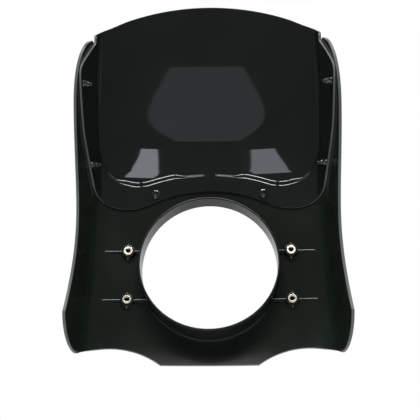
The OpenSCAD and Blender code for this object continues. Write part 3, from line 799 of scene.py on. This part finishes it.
piece_of("screws_m5", "screen_screws", "black_zinc", [BLACK_ZINC], [
    (screw_rows(head_seat(s) + WASHER_H, nut_seat(s) - SCREW_PAST_SEAT), on_skin(s), 0)
    for s in SITES])
piece_of("washers_outside", "head_washers", "black_nylon", [NYLON], [
    (washer_rows(head_seat(s), WASHER_BORE), on_skin(s), 0) for s in SITES])
# The inner washers and the nuts take the darkened zinc, a painted shade
piece_of("washers_inside", "nut_washers", "zinc", [ZINC_PAINTED_DARK], [
    (washer_rows(nut_seat(s) - WASHER_H, WASHER_BORE), on_skin(s), 0) for s in SITES])
piece_of("nuts_m5", "lock_nuts", "zinc", [ZINC_PAINTED_DARK], [
    (nut_rows(nut_seat(s) - WASHER_H), on_skin(s), 0) for s in SITES])
# The inserts' bores, their second rows, carry the painted shade
piece_of("inserts_m6", "threaded_inserts", "nickel", [NICKEL, BORE_PAINTED_SHADE], [
    (rows, facing_rider(x, boss_face_y(z), z), number)
    for x, z in INSERT_SITES for number, rows in enumerate(insert_rows())])


# Bosses and ribs on the shell's inner face
BOSS_FOOT, BOSS_EDGE = 1.3, 0.4


def skin_y(x, z):
    s, h = skin_under(np.asarray(x, float), np.asarray(z, float))
    return skin(s, h)[..., 1]


def boss_rows(x, z):
    """Rings round an insert's axis, from the foot on the skin to the bottom of its pocket."""
    face, wall, hole = boss_face_y(z), BOSS_D / 2, INSERT_D / 2
    c, sn = np.cos(TURN_A), np.sin(TURN_A)

    def level(r, y):
        return np.stack([x + r * c, y + 0 * c, z + r * sn], -1)

    def foot(r):
        return skin_y(x + r * c, z + r * sn)

    rows = []
    for a in np.linspace(0, math.pi / 2, 7):
        r = wall + BOSS_FOOT * (1 - math.sin(a))
        rows.append(level(r, foot(r) - 0.03 + BOSS_FOOT * (1 - math.cos(a))))
    for a in np.linspace(0, math.pi / 2, 5):
        rows.append(level(wall - BOSS_EDGE * (1 - math.cos(a)),
                          face - BOSS_EDGE * (1 - math.sin(a))))
    pocket = face - INSERT_LEN - 0.3
    rows += [level(hole + 0.4, face), level(hole, face - 0.02), level(hole, pocket),
             level(0.0, pocket)]
    return rows


# A rib's cross section: side, flare of the foot, and share of the height
RIB_SHAPE = ((-1.0, 0.9, 0.0), (-1.0, 0.35, 0.12), (-1.0, 0.08, 0.45), (-1.0, 0.0, 0.85),
             (-0.96, 0.0, 0.94), (-0.75, 0.0, 1.0), (0.75, 0.0, 1.0), (0.96, 0.0, 0.94),
             (1.0, 0.0, 0.85), (1.0, -0.08, 0.45), (1.0, -0.35, 0.12), (1.0, -0.9, 0.0))


def rib_rows(points, across, top):
    """Cross sections of a rib along points of [x, z], each from the skin up to the depth top."""
    rows = []
    for x, z in points:
        base = float(skin_y(x, z)) - 0.05
        high = max(top - base, -0.4)
        row = []
        for side, flare, share in RIB_SHAPE:
            o = side * RIB_W / 2 + math.copysign(abs(flare), side) * 0.9
            y = base + (share * high if high < 1.5 or share > 0.6 else share * 1.5)
            row.append((x + across[0] * o, y, z + across[1] * o))
        rows.append(row)
    return np.array(rows)


def add_rib(work, rows):
    """The rib's flanks in the shell's plastic; its narrow top in the edge grey, a painted
    highlight.
    """
    for a, b, slot in ((0, 6, 0), (5, 7, 1), (6, 12, 0)):
        work.grid(rows[:, a:b], slot=slot)


def make_bosses():
    work = Patchwork()
    for x, z in INSERT_SITES:
        work.grid(np.stack(boss_rows(x, z)))
        top, side = boss_face_y(z) - RIB_DROP, math.copysign(1, x)
        inner = math.sqrt((BORE_R + COLLAR_WALL - 0.6) ** 2 - z * z)
        for a, b, n in ((inner, INSERT_DX / 2 - BOSS_D / 2 + 0.5, 14),
                        (INSERT_DX / 2 + BOSS_D / 2 - 0.5, RIB_REACH, 40)):
            add_rib(work, rib_rows([(side * v, z) for v in np.linspace(a, b, n)], (0, 1), top))
        for way in (-1, 1):
            span = np.linspace(BOSS_D / 2 - 0.5, RIB_HALF, 8)
            rib = rib_rows([(x, z + way * v) for v in span], (1, 0), top)
            end = rib[-1].copy()
            end[:, 2] += way * 0.05
            end[:, 1] = np.minimum(end[:, 1], rib[-1][0, 1])
            add_rib(work, np.concatenate([rib, end[None]]))
    return work.build("insert_bosses")


# Slot 1 here is the rib tops: the lighter edge material paints their highlight
finish_piece(make_bosses(), "cowl_shell", "moulded_shell", SHELL_BLACK, TRIMMED_EDGE_AND_RIB_HIGHLIGHT)


# Camera
DISTANCE, ELEVATION, YAW, ROLL = 1.050, math.radians(21), math.radians(1.9), math.radians(0.25)
FOCAL_PX, CENTRE_X, CENTRE_Y, IMAGE = 875.0, 208.9, 261.5, 420.0


def make_camera():
    back = Vector((-math.sin(YAW) * math.cos(ELEVATION), math.cos(YAW) * math.cos(ELEVATION),
                   -math.sin(ELEVATION)))
    ahead = -back
    right = ahead.cross(Vector((0, 0, 1))).normalized()
    up = right.cross(ahead)
    right, up = (right * math.cos(ROLL) + up * math.sin(ROLL),
                 up * math.cos(ROLL) - right * math.sin(ROLL))
    half = IMAGE / 2
    ahead = ahead - right * ((CENTRE_X - half) / FOCAL_PX) - up * ((half - CENTRE_Y) / FOCAL_PX)
    ahead.normalize()
    right = (right - ahead * right.dot(ahead)).normalized()
    up = right.cross(ahead)
    data = bpy.data.cameras.new("camera")
    data.sensor_width = 36.0
    data.lens = data.sensor_width * FOCAL_PX / IMAGE
    cam = bpy.data.objects.new("camera", data)
    turn = Matrix((right, up, -ahead)).transposed().to_4x4()
    cam.matrix_world = Matrix.Translation(back * DISTANCE) @ turn
    bpy.context.scene.collection.objects.link(cam)
    bpy.context.scene.camera = cam


make_camera()


# Stage: pale floor, white backdrop, soft lamps
CENTRE = (0, 0, 0.05)


def board(name, corners):
    mesh = bpy.data.meshes.new(name)
    mesh.from_pydata(corners, [], [(0, 1, 2, 3)])
    obj = bpy.data.objects.new(name, mesh)
    bpy.context.scene.collection.objects.link(obj)
    return obj


def larger(nodes, links, a, b):
    node = nodes.new("ShaderNodeMath")
    node.operation = "MAXIMUM"
    links.new(a, node.inputs[0])
    links.new(b, node.inputs[1])
    return node.outputs[0]


def pale(name, color, white):
    """Pale paint; with white set, rays of the camera, gloss and glass see it as plain white."""
    mat, nodes, links = new_material(name)
    shader = nodes["Principled BSDF"]
    shader.inputs["Base Color"].default_value = (*color, 1)
    shader.inputs["Roughness"].default_value = 0.9
    shader.inputs["Specular IOR Level"].default_value = 0.1
    if white:
        path = nodes.new("ShaderNodeLightPath").outputs
        seen = larger(nodes, links, path["Is Camera Ray"], path["Is Glossy Ray"])
        seen = larger(nodes, links, seen, path["Is Transmission Ray"])
        glow = nodes.new("ShaderNodeEmission")
        pick = nodes.new("ShaderNodeMixShader")
        links.new(seen, pick.inputs["Fac"])
        links.new(shader.outputs["BSDF"], pick.inputs[1])
        links.new(glow.outputs["Emission"], pick.inputs[2])
        links.new(pick.outputs["Shader"], nodes["Material Output"].inputs["Surface"])
    return mat


FLOOR_Z, BACK_Y, NEAR_Y, STAGE_X, STAGE_TOP, PAINT = -0.75, -2.4, 0.85, 3, 3, (0.82, 0.82, 0.82)
floor = board("floor", [(-STAGE_X, BACK_Y, FLOOR_Z), (STAGE_X, BACK_Y, FLOOR_Z),
                        (STAGE_X, NEAR_Y, FLOOR_Z), (-STAGE_X, NEAR_Y, FLOOR_Z)])
floor.data.materials.append(pale("floor_paint", PAINT, False))
backdrop = board("backdrop", [(-STAGE_X, BACK_Y, FLOOR_Z), (STAGE_X, BACK_Y, FLOOR_Z),
                              (STAGE_X, BACK_Y, STAGE_TOP), (-STAGE_X, BACK_Y, STAGE_TOP)])
backdrop.data.materials.append(pale("backdrop_paint", PAINT, True))


def panel(name, size, at, radiance):
    """Soft box that faces CENTRE; its power follows from its size and brightness."""
    light = bpy.data.lights.new(name, "AREA")
    light.shape = "RECTANGLE"
    light.size, light.size_y = size
    light.energy = radiance * size[0] * size[1] * math.pi
    obj = bpy.data.objects.new(name, light)
    obj.location = at
    obj.rotation_euler = (Vector(CENTRE) - Vector(at)).to_track_quat("-Z", "Y").to_euler()
    obj.visible_camera = False
    bpy.context.scene.collection.objects.link(obj)
    return light


def strip(name, width, low_end, high_end, radiance):
    """Long soft box from one end to the other, turned to face the object."""
    a, b = Vector(low_end), Vector(high_end)
    middle, along = (a + b) / 2, (b - a).normalized()
    light = panel(name, (width, (b - a).length), middle, radiance)
    facing = Vector(CENTRE) - middle
    facing = (facing - along * facing.dot(along)).normalized()
    turn = Matrix((along.cross(-facing), along, -facing)).transposed().to_4x4()
    bpy.data.objects[name].matrix_world = Matrix.Translation(middle) @ turn
    return light


# The top and side lamps light the whole; the others are what the gloss reflects: mid lamps in the
# inserts' faces, high lamps in the step's edge, rear and low strips as the screen's bright patches
COOL = (0.92, 0.97, 1.09)
panel("top", (1.6, 1.4), (0.0, -0.95, 2.1), 2.2)
panel("left", (2.2, 2.2), (2.1, 1.3, 2.7), 3.3)
panel("right", (2.2, 2.2), (-2.1, 1.3, 2.7), 3.0)
panel("mid_left", (0.30, 0.36), (-0.250, 2.600, 1.550), 5.0)
panel("mid_right", (0.30, 0.36), (0.428, 2.580, 1.550), 5.0)
panel("high_left", (0.87, 0.36), (-0.406, 2.365, 1.855), 42.0)
panel("high_right", (0.74, 0.36), (0.509, 2.345, 1.855), 42.0)
strip("rear_left", 0.080, (-0.153, 4.03, -2.366), (-0.094, 2.409, -0.15), 5.2).color = COOL
strip("rear_right", 0.090, (0.315, 3.305, -1.869), (0.200, 2.237, -0.246), 3.5).color = COOL
strip("low", 0.119, (0.072, 2.081, -1.308), (0.051, 1.45, -0.97), 0.56).color = COOL

world = bpy.data.worlds.new("world")
bpy.context.scene.world = world
world.use_nodes = True
world.node_tree.nodes["Background"].inputs["Color"].default_value = (0.16, 0.16, 0.16, 1)

bpy.context.scene.view_settings.view_transform = "Standard"

bpy.context.view_layer.update()
